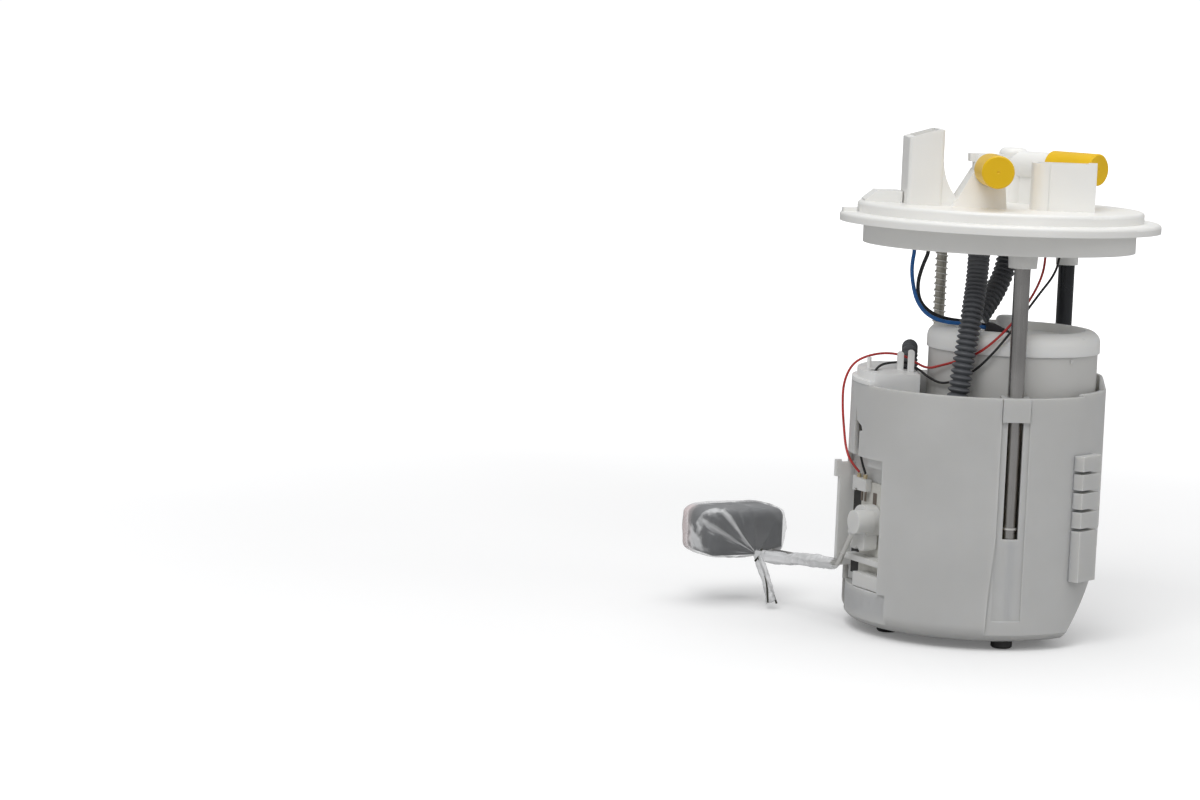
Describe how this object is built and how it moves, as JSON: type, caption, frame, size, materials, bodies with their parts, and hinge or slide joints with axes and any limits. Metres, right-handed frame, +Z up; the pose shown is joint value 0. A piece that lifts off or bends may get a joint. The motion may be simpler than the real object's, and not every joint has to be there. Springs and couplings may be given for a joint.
{
  "type": "fuel pump module",
  "caption": "In-tank fuel pump module: a flange on sprung guides over a reservoir cup with filter can, pump and float level sender",
  "frame": {"origin": "centre of the flange's seat plane, where it rests on the tank", "axes": "+Z up and out of the tank along the module's axis, -Y towards the side of the return port, -X towards the float sender"},
  "size_m": [0.1877, 0.1402, 0.2056],
  "materials": {
    "white_plastic": "moulded white plastic",
    "ivory_plastic": "moulded white plastic, slightly duller",
    "cup_plastic": "greyish translucent moulded plastic",
    "yellow_plastic": "soft yellow plastic cap",
    "rod_steel": "ground steel",
    "spring_steel": "drawn steel wire",
    "black_plastic": "black plastic",
    "hose_grey": "dark grey corrugated plastic",
    "lead_blue": "blue insulation",
    "lead_black": "black insulation",
    "lead_red": "red insulation",
    "black_rubber": "black rubber",
    "filter_paper": "pleated filter paper",
    "regulator_metal": "drawn metal",
    "pump_shell": "plated pump housing",
    "magnet": "ferrite",
    "impeller_plastic": "filled resin",
    "strainer_mesh": "fine plastic mesh",
    "sender_plastic": "moulded white plastic",
    "card_ceramic": "ceramic card with printed tracks",
    "brass": "stamped contact metal",
    "clear_film": "clear thin film",
    "float_foam": "dark closed-cell foam",
    "tie_wire": "coated tie wire"
  },
  "bodies": {
    "reservoir": {"reservoir_cup": "cup_plastic", "rubber_feet": "black_rubber", "check_valve": "black_rubber", "left_cover": "ivory_plastic", "filter_can": "ivory_plastic", "filter_lid": "ivory_plastic", "lid_seal": "black_rubber", "filter_element": "filter_paper", "pressure_regulator": "regulator_metal", "pump_inlet_cap": "ivory_plastic", "pump_shell": "pump_shell", "pump_magnets": "magnet", "pump_end_cap": "ivory_plastic", "pump_sleeve": "black_rubber", "inlet_strainer": "strainer_mesh", "jet_pump": "ivory_plastic", "pump_plug": "black_plastic", "sender_housing": "sender_plastic", "sender_card": "card_ceramic", "sender_terminals": "brass", "contact_springs": "brass", "return_hose": "hose_grey", "supply_hose": "hose_grey", "bypass_hose": "hose_grey", "pump_lead_blue": "lead_blue", "pump_lead_black": "lead_black", "sender_lead_red": "lead_red", "sender_lead_black": "lead_black"},
    "flange": {"flange_plate": "white_plastic", "socket_terminals": "brass", "front_guide_rod": "rod_steel", "front_rod_clip": "spring_steel", "rear_guide_rod": "rod_steel", "rear_rod_clip": "spring_steel", "drop_tube": "black_plastic", "lift_spring": "spring_steel"},
    "return_cap": {"return_cap": "yellow_plastic"},
    "supply_cap": {"supply_cap": "yellow_plastic"},
    "float_arm": {"arm_hub": "sender_plastic", "card_wiper": "brass", "arm_wire": "spring_steel", "arm_sleeve": "clear_film", "float_body": "float_foam", "float_bag": "clear_film", "bag_tail": "clear_film", "twist_tie": "tie_wire"},
    "pump_rotor": {"armature": "rod_steel", "impeller": "impeller_plastic"}
  },
  "joints": [
    {"name": "flange_slide", "type": "slide", "parent": "reservoir", "child": "flange", "axis": [0, 0, 1], "range_m": [-0.03, 0], "stiffness_N_per_m": 300, "springref_m": 0.06, "deforming": ["lift_spring", "supply_hose", "return_hose", "pump_lead_blue", "pump_lead_black", "sender_lead_red", "sender_lead_black"]},
    {"name": "return_cap_slide", "type": "slide", "parent": "flange", "child": "return_cap", "axis": [0, -1, 0], "range_m": [0, 0.025]},
    {"name": "supply_cap_slide", "type": "slide", "parent": "flange", "child": "supply_cap", "axis": [0.6561, -0.7547, 0], "range_m": [0, 0.025]},
    {"name": "float_pivot", "type": "hinge", "parent": "reservoir", "child": "float_arm", "pos_m": [-0.05004, -0.00885, -0.122], "axis": [0.9063, 0.4226, 0], "range_deg": [0, 62]},
    {"name": "rotor_turn", "type": "hinge", "parent": "reservoir", "child": "pump_rotor", "pos_m": [0.0084, 0.0018, -0.09], "axis": [0, 0, 1], "continuous": true}
  ]
}
